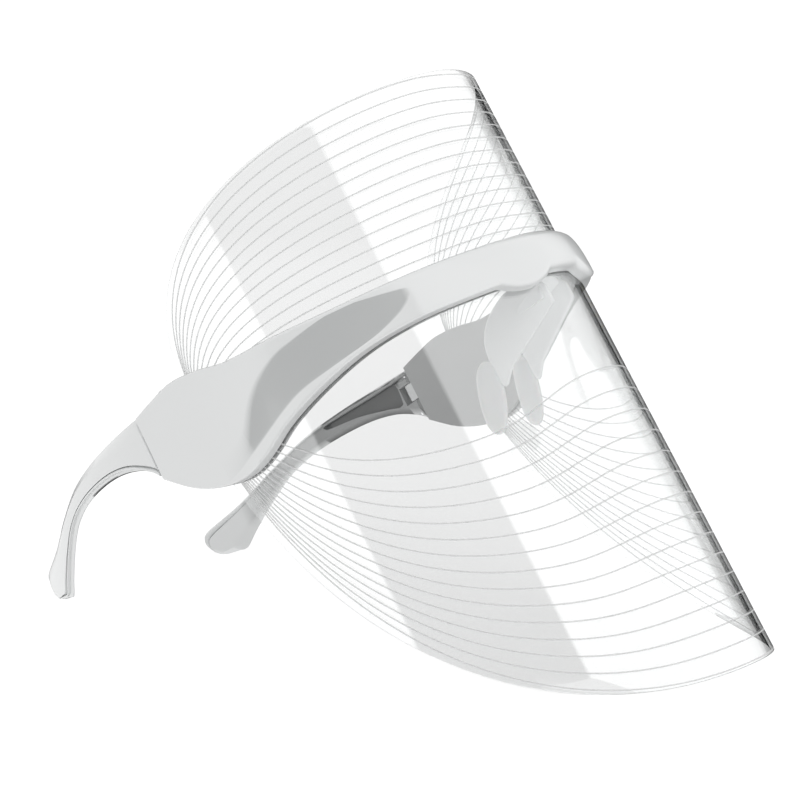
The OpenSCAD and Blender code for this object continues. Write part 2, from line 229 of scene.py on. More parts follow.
def top_edge(u):
    """Height of the upper sheet's edge at a share u of the way round to its end."""
    return TOP_SHOULDER + (SHEET_TOP - TOP_SHOULDER) * max(0.0, 1 - u ** 3.3) ** (1 / 2.4)


def bottom_edge(u):
    """Height of the lower sheet's edge at a share u of the way round to its end."""
    return BOTTOM_SHOULDER + (SHEET_BOTTOM - BOTTOM_SHOULDER) * max(0.0, 1 - u ** 2.3) ** (1 / 1.55)


# ---------------------------------------------------------------- meshes


def mirrored(points, faces):
    """The same shape on the other side of the mask."""
    return [(-x, y, z) for x, y, z in points], [tuple(reversed(f)) for f in faces]


def loft(rings):
    """Points and faces of a closed skin through rings of the same length."""
    n = len(rings[0])
    points = [tuple(p) for ring in rings for p in ring]
    faces = []
    for i in range(len(rings) - 1):
        for j in range(n):
            k = (j + 1) % n
            faces.append((i * n + j, i * n + k, (i + 1) * n + k, (i + 1) * n + j))
    faces.append(tuple(range(n - 1, -1, -1)))
    faces.append(tuple(range((len(rings) - 1) * n, len(rings) * n)))
    return points, faces


def joined(*parts):
    """Several shapes as one."""
    points = []
    faces = []
    for p, f in parts:
        faces += [tuple(i + len(points) for i in face) for face in f]
        points += list(p)
    return points, faces


def solid(name, points, faces, sharp=32):
    """A closed mesh object made from worn points, smooth except at its sharp edges."""
    mesh = bpy.data.meshes.new(name)
    mesh.from_pydata([at_rest(p) for p in points], [], faces)
    made = bpy.data.objects.new(name, mesh)
    bpy.context.scene.collection.objects.link(made)
    tidy_mesh(mesh, sharp)
    return made


def smooth(mesh, sharp):
    """Shades a mesh smooth, except along edges sharper than an angle in degrees."""
    mesh.shade_smooth()
    mesh.set_sharp_from_angle(angle=math.radians(sharp))


def tidy_mesh(mesh, sharp):
    """Merges points that lie together, turns every face outwards and shades the mesh."""
    bm = bmesh.new()
    bm.from_mesh(mesh)
    bmesh.ops.remove_doubles(bm, verts=bm.verts, dist=2e-6)
    bmesh.ops.recalc_face_normals(bm, faces=bm.faces)
    bm.to_mesh(mesh)
    bm.free()
    smooth(mesh, sharp)


def cut(piece, *cutters, sharp):
    """Takes closed cutter objects out of a piece, and removes them."""
    for cutter in cutters:
        step = piece.modifiers.new("cut", "BOOLEAN")
        step.operation = "DIFFERENCE"
        step.solver = "MANIFOLD"
        step.object = cutter
    deps = bpy.context.evaluated_depsgraph_get()
    mesh = bpy.data.meshes.new_from_object(piece.evaluated_get(deps))
    piece.modifiers.clear()
    piece.data = mesh
    for cutter in cutters:
        bpy.data.objects.remove(cutter)
    tidy_mesh(mesh, sharp)


def finish_piece(piece, body, slot, material, *nodes):
    """Gives a piece its material and its body, and hides the CAD nodes it stands for."""
    piece.data.materials.clear()
    piece.data.materials.append(material)
    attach(piece, body)
    if nodes:
        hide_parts(*nodes)


def stadium(size, centre, grow):
    """A slot's outline, rounded at both ends of its length, as (x, y)."""
    steps = 10
    r = size[0] / 2 + grow
    reach = size[1] / 2 - size[0] / 2
    out = []
    for i in range(steps + 1):
        a = math.pi * i / steps
        out.append((centre[0] + r * math.cos(a), centre[1] + reach + r * math.sin(a)))
    for i in range(steps + 1):
        a = math.pi + math.pi * i / steps
        out.append((centre[0] + r * math.cos(a), centre[1] - reach + r * math.sin(a)))
    return out


def stacked(outline_at, levels):
    """A solid from level outlines: outline_at(grow) at height z for each (grow, z)."""
    return loft([[(x, y, z) for x, y in outline_at(grow)] for grow, z in levels])


def inside(point, outline):
    """Whether a point lies inside a closed outline."""
    x, y = point
    hit = False
    for i in range(len(outline)):
        x0, y0 = outline[i - 1]
        x1, y1 = outline[i]
        if (y0 > y) != (y1 > y) and x < (x1 - x0) * (y - y0) / (y1 - y0) + x0:
            hit = not hit
    return hit


def edge_distance(points, outline):
    """How far each point lies from the closed outline."""
    a = np.array(outline, float)
    b = np.roll(a, -1, axis=0)
    p = np.array(points, float)[:, None, :]
    span = b - a
    t = np.clip(((p - a) * span).sum(2) / (span ** 2).sum(1), 0, 1)
    return np.linalg.norm(p - (a + t[..., None] * span), axis=2).min(1)


def evenly(outline, spacing):
    """A closed outline with its points set about the same distance apart."""
    p = np.array([*outline, outline[0]], float)
    run = np.concatenate([[0], np.cumsum(np.linalg.norm(np.diff(p, axis=0), axis=1))])
    n = max(12, int(run[-1] / spacing))
    at = np.linspace(0, run[-1], n, endpoint=False)
    return [(float(np.interp(t, run, p[:, 0])), float(np.interp(t, run, p[:, 1]))) for t in at]


def grid_inside(rim, edge, spacing):
    """Points of an even grid inside a rim, clear of its rounded edge."""
    low = np.min(rim, axis=0)
    high = np.max(rim, axis=0)
    row = spacing * 0.87
    grid = [(x, y) for x in np.arange(low[0], high[0], spacing) for y in np.arange(low[1], high[1], row)]
    grid = [p for p in grid if inside(p, rim)]
    gap = edge_distance(grid, rim)
    return [p for p, d in zip(grid, gap) if d > edge + 0.45 * spacing]


def row_inside(rim, edge, share):
    """A row of points that follows a rim on its inner side, a share of its rounded edge away."""
    n = len(rim)
    step = share * edge
    row = []
    for i in range(n):
        ax, ay = rim[i - 1]
        bx, by = rim[(i + 1) % n]
        length = math.hypot(bx - ax, by - ay)
        for turn in (1, -1):
            p = (rim[i][0] - turn * (by - ay) / length * step,
                 rim[i][1] + turn * (bx - ax) / length * step)
            if inside(p, rim):
                row.append(p)
    gap = edge_distance(row, rim)
    return [p for p, d in zip(row, gap) if d > 0.9 * share * edge]


def slab(outline, half, edge, spacing, place):
    """A closed slab over an outline. Its faces lie half from its middle and are rounded over edge."""
    rim = evenly(outline, spacing)
    n = len(rim)
    inner = grid_inside(rim, edge, spacing)
    for share in (0.12, 0.42, 0.95):
        inner += row_inside(rim, edge, share)
    flat = [Vector(p) for p in rim + inner]
    rims = [(i, (i + 1) % n) for i in range(n)]
    verts, _, tris, *_ = geometry.delaunay_2d_cdt(flat, rims, [], 1, 1e-5)
    where = [(v.x, v.y) for v in verts]
    gap = edge_distance(where, rim)
    rise = [half * math.sqrt(max(0.0, 1 - (1 - min(d / edge, 1)) ** 2)) for d in gap]
    on_rim = gap < 1e-3
    points = [place(u, v, 0.0 if on else r) for (u, v), r, on in zip(where, rise, on_rim)]
    other = {}
    for i, (u, v) in enumerate(where):
        if on_rim[i]:
            other[i] = i
        else:
            other[i] = len(points)
            points.append(place(u, v, -rise[i]))
    faces = [tuple(t) for t in tris]
    faces += [tuple(other[i] for i in reversed(t)) for t in tris]
    return points, faces


# ---------------------------------------------------------------- shading


class Wire:
    """A shader value. Sums on it add their own Math nodes."""

    def __init__(self, shader, socket):
        self.shader = shader
        self.socket = socket

    def maths(self, operation, first, second=0.0):
        return self.shader.node("ShaderNodeMath", {"operation": operation}, {0: first, 1: second})

    def __add__(self, other):
        return self.maths("ADD", self, other)

    def __radd__(self, other):
        return self.maths("ADD", other, self)

    def __sub__(self, other):
        return self.maths("SUBTRACT", self, other)

    def __rsub__(self, other):
        return self.maths("SUBTRACT", other, self)

    def __mul__(self, other):
        return self.maths("MULTIPLY", self, other)

    def __pow__(self, other):
        return self.maths("POWER", self, other)

    def __gt__(self, other):
        return self.maths("GREATER_THAN", self, other)

    def __lt__(self, other):
        return self.maths("LESS_THAN", self, other)

    def at_least(self, other):
        return self.maths("MAXIMUM", self, other)

    def angle_from(self, other):
        """The angle whose tangent is this value over the other, in radians."""
        return self.maths("ARCTAN2", self, other)


class Shader:
    """The nodes of one material or of the world."""

    def __init__(self, owner):
        owner.use_nodes = True
        self.tree = owner.node_tree
        self.tree.nodes.clear()

    def node(self, kind, settings=None, inputs=None, output=0):
        """Adds a node: its settings, then the value or link of each named input."""
        made = self.tree.nodes.new(kind)
        for name, value in (settings or {}).items():
            if name == "stops":
                self.set_stops(made.color_ramp, value)
            else:
                setattr(made, name, value)
        for name, value in (inputs or {}).items():
            socket = made.inputs[name]
            if isinstance(value, Wire):
                self.tree.links.new(value.socket, socket)
            else:
                socket.default_value = value
        return Wire(self, made.outputs[output]) if made.outputs else None

    def outputs(self, kind, names, inputs=None):
        """Adds a node and gives several of its outputs."""
        made = self.node(kind, {}, inputs).socket.node
        return [Wire(self, made.outputs[name]) for name in names]

    def set_stops(self, ramp, stops):
        while len(ramp.elements) < len(stops):
            ramp.elements.new(1.0)
        for element, (at, value) in zip(ramp.elements, stops):
            element.position = at
            element.color = (value, value, value, 1)

    def mixed(self, factor, first, second):
        """A colour between two colours."""
        return self.node("ShaderNodeMix", {"data_type": "RGBA"},
                         {"Factor": factor, "A": first, "B": second}, "Result")

    def place(self):
        return self.node("ShaderNodeTexCoord", output="Object")

    def noise(self, scale, detail=2.0, roughness=0.5):
        return self.node("ShaderNodeTexNoise", {}, {"Vector": self.place(), "Scale": scale,
                                                    "Detail": detail, "Roughness": roughness})

    def bump(self, height, strength, distance):
        return self.node("ShaderNodeBump", {},
                         {"Height": height, "Strength": strength, "Distance": distance})

    def surface(self, shader):
        self.node("ShaderNodeOutputMaterial", {}, {"Surface": shader})


def rgba(colour, share=1.0):
    """A colour made lighter or darker, with the fourth number that a socket wants."""
    return tuple(min(1.0, c * share) for c in colour) + (1.0,)


def new_shader(name):
    material = bpy.data.materials.new(name)
    return material, Shader(material)


def moulded_plastic(name, colour, roughness, coat=0.0):
    """A moulded plastic: a faint cloud in its tone and gloss, a fine spark-eroded grain in its skin."""
    material, shader = new_shader(name)
    cloud = shader.noise(35.0, 3.0)
    grain = shader.noise(MOULD_GRAIN, 2.0)
    tone = shader.mixed(cloud, rgba(colour, 0.975), rgba(colour, 1.02))
    shader.surface(shader.node("ShaderNodeBsdfPrincipled", {}, {
        "Base Color": tone,
        "Roughness": roughness + (cloud - 0.5) * 0.07,
        "Coat Weight": coat,
        "Coat Roughness": 0.08,
        "Normal": shader.bump(grain, 0.35, 0.00002),
    }))
    return material


def plastic_with_painted_shade(name, hollow):
    """Glossy pale plastic with painted shade: where the piece's scoop values are high it turns towards the
    hollow colour, the colour of the shade on a scoop or on an arm's inner side and hollow.
    """
    material, shader = new_shader(name)
    colour = (0.72, 0.73, 0.73)
    scoop = shader.node("ShaderNodeAttribute", {"attribute_name": "scoop"}, {}, "Fac")
    cloud = shader.noise(28.0, 3.0)
    grain = shader.noise(MOULD_GRAIN, 2.0)
    tone = shader.mixed(cloud, rgba(colour, 0.985), rgba(colour, 1.015))
    # Painted shade: the scoop values blend the tone towards the hollow colour
    tone = shader.mixed(scoop, tone, rgba(hollow))
    shader.surface(shader.node("ShaderNodeBsdfPrincipled", {}, {
        "Base Color": tone,
        "Roughness": 0.3 + (cloud - 0.5) * 0.06 + scoop * 0.08,
        "Coat Weight": 0.25,
        "Coat Roughness": 0.1,
        "Normal": shader.bump(grain, 0.3, 0.000015),
    }))
    return material


def clear_sheet():
    """Clear polished sheet: it lets light straight through and mirrors what it faces."""
    material, shader = new_shader("clear_sheet")
    clouds = shader.noise(18.0, 2.0)
    mirror = shader.node("ShaderNodeBsdfPrincipled", {}, {
        "Base Color": (0.92, 0.93, 0.93, 1.0),
        "Metallic": 1.0,
        "Roughness": 0.02 + clouds * 0.02,
    })
    through = shader.node("ShaderNodeBsdfTransparent", {}, {"Color": (0.922, 0.924, 0.924, 1.0)})
    slant = shader.node("ShaderNodeLayerWeight", {}, {"Blend": 0.5}, "Facing")
    share = 0.08 + slant ** 5.0 * 0.92
    shader.surface(shader.node("ShaderNodeMixShader", {}, {0: share, 1: through, 2: mirror}))
    return material


def frosted_line():
    """The lines cut into the sheets, which scatter the light that the sheets carry."""
    material, shader = new_shader("frosted_line")
    grain = shader.noise(900.0, 3.0)
    cloudy = shader.node("ShaderNodeBsdfPrincipled", {}, {
        "Base Color": shader.mixed(grain, (0.72, 0.725, 0.725, 1.0), (0.80, 0.805, 0.805, 1.0)),
        "Roughness": 0.6,
    })
    through = shader.node("ShaderNodeBsdfTransparent", {}, {"Color": (1.0, 1.0, 1.0, 1.0)})
    shader.surface(shader.node("ShaderNodeMixShader", {},
                               {0: 0.5 + grain * 0.1, 1: through, 2: cloudy}))
    return material


def soft_silicone():
    """The nose pads' silicone: pale, matt and slightly see-through at the skin."""
    material, shader = new_shader("pad_silicone")
    cloud = shader.noise(120.0, 3.0)
    grain = shader.noise(3500.0, 2.0)
    shader.surface(shader.node("ShaderNodeBsdfPrincipled", {}, {
        "Base Color": shader.mixed(cloud, (0.76, 0.77, 0.77, 1.0), (0.81, 0.82, 0.82, 1.0)),
        "Roughness": 0.46 + (cloud - 0.5) * 0.1,
        "Subsurface Weight": 0.15,
        "Subsurface Scale": 0.0015,
        "Normal": shader.bump(grain, 0.4, 0.00002),
    }))
    return material


def metal(name, colour, roughness):
    """Bright metal with fine marks that vary its gloss."""
    material, shader = new_shader(name)
    marks = shader.noise(1800.0, 4.0, 0.7)
    shader.surface(shader.node("ShaderNodeBsdfPrincipled", {}, {
        "Base Color": rgba(colour),
        "Metallic": 1.0,
        "Roughness": roughness + (marks - 0.5) * 0.1,
        "Normal": shader.bump(marks, 0.15, 0.00001),
    }))
    return material


def circuit_board():
    """Green board lacquer over a pattern of tracks."""
    material, shader = new_shader("board_lacquer")
    tracks = shader.node("ShaderNodeTexVoronoi", {"feature": "DISTANCE_TO_EDGE"},
                         {"Vector": shader.place(), "Scale": 420.0})
    track = tracks < 0.06
    shader.surface(shader.node("ShaderNodeBsdfPrincipled", {}, {
        "Base Color": shader.mixed(track, (0.015, 0.13, 0.055, 1.0), (0.03, 0.26, 0.11, 1.0)),
        "Roughness": 0.35 + track * 0.1,
        "Normal": shader.bump(track, 0.3, 0.00003),
    }))
    return material


def lamp_glass():
    """The lamps' yellow phosphor under clear resin."""
    material, shader = new_shader("lamp_phosphor")
    grain = shader.noise(2500.0, 3.0)
    shader.surface(shader.node("ShaderNodeBsdfPrincipled", {}, {
        "Base Color": shader.mixed(grain, (0.80, 0.62, 0.16, 1.0), (0.92, 0.78, 0.30, 1.0)),
        "Roughness": 0.3,
        "Coat Weight": 0.6,
    }))
    return material


def white_floor():
    """A pale studio floor, lit from below as well, that keeps only soft shadows."""
    material, shader = new_shader("studio_floor")
    cloud = shader.noise(1.5, 2.0)
    paper = shader.node("ShaderNodeBsdfDiffuse", {}, {
        "Color": shader.mixed(cloud, (0.52, 0.52, 0.52, 1.0), (0.54, 0.54, 0.54, 1.0))})
    glow = shader.node("ShaderNodeEmission", {}, {"Color": (1.0, 1.0, 1.0, 1.0), "Strength": 0.66})
    shader.surface(shader.node("ShaderNodeAddShader", {}, {0: paper, 1: glow}))
    return material


# ---------------------------------------------------------------- studio


def camera():
    """A long lens, a little above the mask and in front of its right side."""
    low, high = (Vector(p) for p in CAD_BOX)
    aim = (low + high) / 2 + VIEW_AIM
    reach = math.cos(VIEW_RISE)
    away = Vector((-math.sin(VIEW_TURN) * reach, -math.cos(VIEW_TURN) * reach, math.sin(VIEW_RISE)))
    lens = bpy.data.cameras.new("camera")
    lens.sensor_width = 36.0
    lens.lens = 96.7
    lens.clip_start = 0.01
    made = bpy.data.objects.new("camera", lens)
    made.location = aim + away * VIEW_DISTANCE
    level = away.to_track_quat("Z", "Y")
    tilt = Matrix.Rotation(VIEW_ROLL, 3, "Z").to_quaternion()
    made.rotation_euler = (level @ tilt).to_euler()
    bpy.context.scene.collection.objects.link(made)
    bpy.context.scene.camera = made


def softbox(name, size, power, place, aim):
    """A soft light that gloss doesn't show. The walls do that."""
    light = bpy.data.lights.new(name, "AREA")
    light.shape = "RECTANGLE"
    light.size, light.size_y = size
    light.energy = power
    made = bpy.data.objects.new(name, light)
    made.location = place
    made.rotation_euler = (Vector(place) - Vector(aim)).to_track_quat("Z", "Y").to_euler()
    made.visible_glossy = False
    bpy.context.scene.collection.objects.link(made)


# How bright the studio's walls look in gloss and glass, by heading in degrees from straight ahead
# towards the wearer's right
STUDIO_WALLS = [(-180, 2.0), (-172.6, 2.0), (-153.6, 1.0), (-153.4, 0.0), (-79.4, 0.0), (-79.2, 1.0),
                (-49.8, 2.1), (41.4, 2.1), (41.6, 0.0), (92.4, 0.0), (92.6, 2.1), (126, 2.1), (126.2, 2.0),
                (180, 2.0)]
# The headings between which one dark stretch grows lighter with height
GAP = (math.radians(41.5), math.radians(92.5))
# How bright the backdrop is to the camera
BACKDROP = 1.12


def studio_world():
    """A white studio. Its soft light fills the shadows, and its lit walls show in gloss and in glass."""
    world = bpy.data.worlds.new("studio")
    bpy.context.scene.world = world
    shader = Shader(world)
    way = shader.node("ShaderNodeTexCoord", output="Generated")
    x, y, z = shader.outputs("ShaderNodeSeparateXYZ", "XYZ", {0: way})
    forward = y * math.cos(LEAN) - z * math.sin(LEAN)
    rise = y * math.sin(LEAN) + z * math.cos(LEAN)
    heading = (x * -1.0).angle_from(forward * -1.0)
    stops = [(at / 360 + 0.5, level) for at, level in STUDIO_WALLS]
    round_once = heading * (0.5 / math.pi) + 0.5
    walls = shader.node("ShaderNodeValToRGB", {"stops": stops}, {"Fac": round_once})
    gap = (heading > GAP[0]) * (heading < GAP[1])
    gloss = walls + gap * (rise * 2.6 - 0.16).at_least(0.0)
    fill = 0.84 - z * 0.22 - forward * 0.12
    seen, shiny = shader.outputs("ShaderNodeLightPath", ("Is Camera Ray", "Is Glossy Ray"))
    level = seen * BACKDROP + (1.0 - seen) * (shiny * gloss + (1.0 - shiny) * fill)
    light = shader.node("ShaderNodeBackground", {}, {"Color": (1, 1, 1, 1), "Strength": level})
    shader.node("ShaderNodeOutputWorld", {}, {"Surface": light})


def studio():
    """The world, two soft lights and a round floor."""
    bpy.context.scene.view_settings.view_transform = "Standard"
    studio_world()
    softbox("key_softbox", (1.4, 1.0), 9.0, (-0.9, -1.3, 1.5), (0, 0, 0.08))
    softbox("rear_softbox", (1.2, 0.8), 2.5, (1.0, 1.2, 1.1), (0, 0, 0.08))
    mesh = bpy.data.meshes.new("floor")
    reach = 14.0
    corners = 96
    rim = [(reach * math.cos(a), reach * math.sin(a), 0.0)
           for a in np.linspace(0, 2 * math.pi, corners, endpoint=False)]
    mesh.from_pydata(rim, [], [tuple(range(corners))])
    floor = bpy.data.objects.new("floor", mesh)
    mesh.materials.append(white_floor())
    floor.visible_diffuse = False
    floor.visible_glossy = False
    bpy.context.scene.collection.objects.link(floor)


# ---------------------------------------------------------------- the brow frame


def lobe_drop(x):
    """How far the outer shell hangs below the frame's edge beside the nose notch."""
    side = abs(abs(x) - 19.5)
    return max(0.0, math.sqrt(max(0.0, 18.0 ** 2 - side ** 2)) - 14.5)


def scoop_rows(y, high, low):
    """The crease heights at depth y, kept inside the outer face, and the scoop's depth there."""
    if SCOOP_UPPER[0][0] < y < SCOOP_UPPER[-1][0]:
        upper = scoop_upper(y)
        lower = scoop_lower(y)
        depth = min(1.45, 0.12 * (upper - lower))
    else:
        tip = SCOOP_UPPER[0] if y < 60 else SCOOP_UPPER[-1]
        span = min(2.4, 0.15 * abs(y - tip[0]))
        middle = frame_bottom(y) + (tip[1] - frame_bottom(tip[0]))
        upper = middle + span
        lower = middle - span
        depth = 0.0
    upper = min(upper, high - 0.25)
    lower = max(lower, low + 0.25)
    if upper < lower + 0.12:
        middle = (upper + lower) / 2
        upper = middle + 0.06
        lower = middle - 0.06
    return upper, lower, max(0.0, depth)


def brow_dome(s, out, z, top, bottom):
    """Rounds the shell's face over towards the middle of the brow, where its section is a quarter bow."""
    share = math.exp(-(abs(s) / 36) ** 2.6)
    height = min(1.0, max(0.0, (z - bottom - 3.0) / (top - bottom - 3.0)))
    bow = (1.0 - height ** 2.3) ** (1 / 2.3)
    return out * (1.0 - share * (1.0 - bow) * min(1.0, max(0.0, (out - 0.6) / 2.0)))


def outer_skin(s, y, face, top, bottom):
    """The shell's outer face from top to bottom, as (out, z, weight of the painted shade on the scoop), and
    the scoop's depth.
    """
    top_r = 1.3 + 1.3 * math.exp(-(s / 45) ** 2)
    low_r = 0.9 + 2.4 * math.exp(-(s / 22) ** 2)
    highest = top - top_r
    lowest = bottom + low_r
    upper, lower, depth = scoop_rows(y, highest, lowest)
    # How strongly the material paints shade on the scoop's faces, growing with its depth
    shade_mark = min(1.0, 2.5 * depth)
    skin = []
    for i in range(7):
        a = math.pi / 2 * (1 - i / 6)
        skin.append((face - top_r + top_r * math.cos(a), highest + top_r * math.sin(a), 0))
    for i in range(1, 5):
        skin.append((face, highest + (upper - top + top_r) * i / 5, 0))
    for i in range(17):
        q = i / 16
        skin.append((face - depth * (1.35 * q - 0.35 * q * q), upper + (lower - upper) * q, shade_mark))
    for i in range(1, 5):
        q = i / 5
        skin.append((face - depth * (1 - 0.35 * q), lower + (lowest - lower) * q, 0))
    low_face = face - depth * 0.65
    for i in range(7):
        a = math.pi / 2 * i / 6
        skin.append((low_face - low_r + low_r * math.cos(a), lowest - low_r * math.sin(a), 0))
    return skin, depth


def shell_ring(s, inset, filled):
    """One section of the outer shell, as (out, z, painted shade weight) in order round its wall."""
    x0, y0 = plan(s, FRAME_OUT)
    top = frame_top(y0) - inset
    bottom = frame_bottom(y0) + inset - lobe_drop(x0)
    face = FRAME_OUT - inset
    back = 0.1 if y0 < CHEEK_Y + 3.6 else COVER_OUT + 0.25
    lip = back + 0.6
    skin, depth = outer_skin(s, y0, face, top, bottom)
    ring = [(back, top, 0), (lip, top, 0)]
    ring += [(brow_dome(s, out, z, top, bottom), z, shade_mark) for out, z, shade_mark in skin]
    ring += [(lip, bottom, 0), (back, bottom, 0)]
    roof = top - WALL
    base = frame_bottom(y0) + WALL
    if filled:
        hollow = [(back, base + (roof - base) * share) for share in (0, 0.2, 0.4, 0.6, 0.8, 1)]
    else:
        wall = min(FRAME_OUT - WALL, face - depth - 0.8)
        square = [(back, base), (wall - 0.8, base), (wall, base + 0.8), (wall, roof - 0.8),
                  (wall - 0.8, roof), (back, roof)]
        hollow = []
        for out, z in square:
            under_dome = brow_dome(s, face, z + 1.2, top, bottom) - 1.0
            hollow.append((max(back, min(out, under_dome)), z))
    ring += [(out, z, 0) for out, z in hollow]
    return ring


def at_section(s, ring):
    """A section's points where arc length s puts them, kept between the frame's edges."""
    face_y = plan(s, FRAME_OUT)[1]
    low = frame_bottom(face_y)
    high = frame_top(face_y)
    placed = []
    for out, z, _ in ring:
        x, y = plan(s, out)
        lift = frame_top(y) - high
        fall = frame_bottom(y) - low
        share = min(1.0, max(0.0, (z - low) / (high - low)))
        placed.append((x, y, z + fall + (lift - fall) * share))
    return placed


def brow_shell(material):
    """The frame's outer shell: a channel round the brow that widens into a housing on each side."""
    end = arc_at_depth(HINGE_Y)
    inner_end = end - WALL
    marks = [0.0]
    while marks[-1] < inner_end - 1.4:
        marks.append(marks[-1] + 1.2)
    marks.append(inner_end)
    half = [(s, 0.0, False) for s in marks]
    half += [(inner_end + 0.02, 0.0, True), (end - 0.3, 0.0, True), (end, 0.45, True)]
    stations = [(-s, i, f) for s, i, f in reversed(half[1:])] + half
    rings = [shell_ring(s, inset, filled) for s, inset, filled in stations]
    points, faces = loft([at_section(s, r) for (s, _, _), r in zip(stations, rings)])
    shell = solid("brow_shell", points, faces)
    scoop_shades = [shade_mark for ring in rings for _, _, shade_mark in ring]
    paint_shade_on_scoop(shell, points, scoop_shades)
    slots = [cutter("button_slot", BUTTON_SIZE, (-CONTROL_X, BUTTON_Y), 0.2),
             cutter("socket_slot", SOCKET_SIZE, (CONTROL_X, SOCKET_Y), 0.0)]
    cut(shell, *slots, sharp=26)
    finish_piece(shell, "frame", "frame", material, "brow_frame")
    for side in (1, -1):
        knuckle(side, material)


def paint_shade_on_scoop(shell, points, scoop_shades):
    """Gives the scooped faces a weight of painted shade, so that the material darkens them."""
    wanted = {tuple(round(c, 6) for c in at_rest(p)): m for p, m in zip(points, scoop_shades)}
    layer = shell.data.attributes.new("scoop", "FLOAT", "POINT")
    for i, v in enumerate(shell.data.vertices):
        layer.data[i].value = wanted.get(tuple(round(c, 6) for c in v.co), 0.0)


def cutter(name, size, centre, grow):
    """What cuts a slot through a housing's top."""
    points, faces = stacked(lambda g: stadium(size, centre, grow + g), [(0, 24), (0, 40)])
    return solid(name, points, faces)


def knuckle(side, material):
    """The hinge knuckle that stands out of the housing's end, rounded about the pin."""
    bevel = 0.35
    root = HINGE_Y - 0.8
    low, high = KNUCKLE_Z
    levels = []
    for grow, z in ((-bevel, low), (0, low + bevel), (0, high - bevel), (-bevel, high)):
        r = KNUCKLE_R + grow
        outline = [(PIN.x - r, root), (PIN.x + r, root)]
        for i in range(13):
            a = math.pi * i / 12
            outline.append((PIN.x + r * math.cos(a), PIN.y + r * math.sin(a)))
        levels.append([(x, y, z) for x, y in outline])
    points, faces = loft(levels)
    if side < 0:
        points, faces = mirrored(points, faces)
    name = ("left" if side > 0 else "right") + "_knuckle"
    finish_piece(solid(name, points, faces), "frame", "frame", material)


# ---------------------------------------------------------------- the clear sheets


def sheet_ring(s, low, high):
    """One section of a sheet, from its low edge to its high edge, with polished round edges."""
    rows = 24
    r = SHEET_T / 2
    edge = 0.6 * r
    ring = []
    for i in range(rows + 1):
        ring.append((0.0, low + r * 0.6 + (high - low - r * 1.2) * i / rows))
    for i in range(1, 4):
        a = math.pi * i / 4
        ring.append((-r + r * math.cos(a), high - 0.6 * r + 0.6 * r * math.sin(a)))
    for i in range(rows, -1, -1):
        ring.append((-SHEET_T, low + r * 0.6 + (high - low - r * 1.2) * i / rows))
    for i in range(1, 4):
        a = math.pi + math.pi * i / 4
        ring.append((-r + r * math.cos(a), low + 0.6 * r + 0.6 * r * math.sin(a)))
    return [(*plan(s, out), z) for out, z in ring]


def sheet(name, node, span, material):
    """A clear sheet bent round the face. span(s) gives its low and high edges at arc length s."""
    steps = 96
    ends = [HALF_ARC * math.sin(math.pi / 2 * i / steps) for i in range(steps + 1)]
    kept = [s for s in ends if span(s)[1] - span(s)[0] > 2.0]
    stations = [-s for s in reversed(kept[1:])] + kept
    points, faces = loft([sheet_ring(s, *span(s)) for s in stations])
    finish_piece(solid(name, points, faces, 40), "frame", "clear_sheet", material, node)


def upper_span(s):
    """The upper sheet's low and high edges at arc length s."""
    return frame_top(plan(s)[1]) - TONGUE, top_edge(abs(s) / HALF_ARC)


def lower_span(s):
    """The lower sheet's low and high edges at arc length s."""
    return bottom_edge(abs(s) / HALF_ARC) + EDGE_TRIM, frame_bottom(plan(s)[1]) + TONGUE


def upper_line(k, s):
    """Height of the k-th line of the upper sheet, counted down from its edge."""
    u = abs(s) / HALF_ARC
    dip = 1.6 * math.exp(-(s / 20) ** 2)
    return top_edge(min(1.0, u / 0.978)) - 0.7 - k * (5.2 - 2.8 * u ** 3) - dip


def lower_line(k, s):
    """Height of the k-th line of the lower sheet, counted down from the nose."""
    u = abs(s) / HALF_ARC
    share = k / (LOWER_LINES - 1)
    share *= 1 + 0.08 * (1 - share)
    rise = 8.2 * math.exp(-(abs(s) / 37) ** 3.2)
    first = -1 - 37 * (1 - (u / 0.845) ** 4) + rise
    last = bottom_edge(min(1.0, u / 0.975)) + 1.2
    return first + (last - first) * share


def ribbon(heights):
    """A thin closed ribbon along the sheet through (s, z) points, just proud of its face."""
    p = np.array(heights)
    way = np.gradient(p, axis=0)
    way /= np.linalg.norm(way, axis=1)[:, None]
    side = np.stack([-way[:, 1], way[:, 0]], axis=1) * LINE_WIDTH / 2
    rings = []
    for (s, z), (ds, dz) in zip(p, side):
        corners = [(s + ds, z + dz, 0.04), (s - ds, z - dz, 0.04),
                   (s - ds, z - dz, -0.12), (s + ds, z + dz, -0.12)]
        rings.append([(*plan(a, out), b) for a, b, out in corners])
    return loft(rings)


def line_run(height, shows):
    """The (s, z) points of a line over the arc lengths at which it shows."""
    half = []
    s = 0.0
    while s < HALF_ARC - 0.4:
        z = height(s)
        if not shows(s, z):
            break
        half.append((s, z))
        s += max(0.15, 1.3 * (1 - (s / HALF_ARC) ** 6))
    return [(-a, z) for a, z in reversed(half[1:])] + half


def above_frame(s, z):
    """Whether a line shows above the frame, or runs just behind its edge."""
    return z > frame_top(plan(s)[1]) - BEHIND_FRAME


def below_frame(s, z):
    """Whether a line shows below the frame, or runs just behind its edge."""
    return z < frame_bottom(plan(s)[1]) + BEHIND_FRAME


def engraved_lines(material):
    """The lines cut into both sheets."""
    for name, count, line, shows in (("upper_lines", UPPER_LINES, upper_line, above_frame),
                                     ("lower_lines", LOWER_LINES, lower_line, below_frame)):
        runs = [line_run(lambda s, k=k: line(k, s), shows) for k in range(count)]
        points, faces = joined(*(ribbon(run) for run in runs if len(run) > 4))
        finish_piece(solid(name, points, faces, 40), "frame", "clear_sheet", material)


# ---------------------------------------------------------------- ear arms


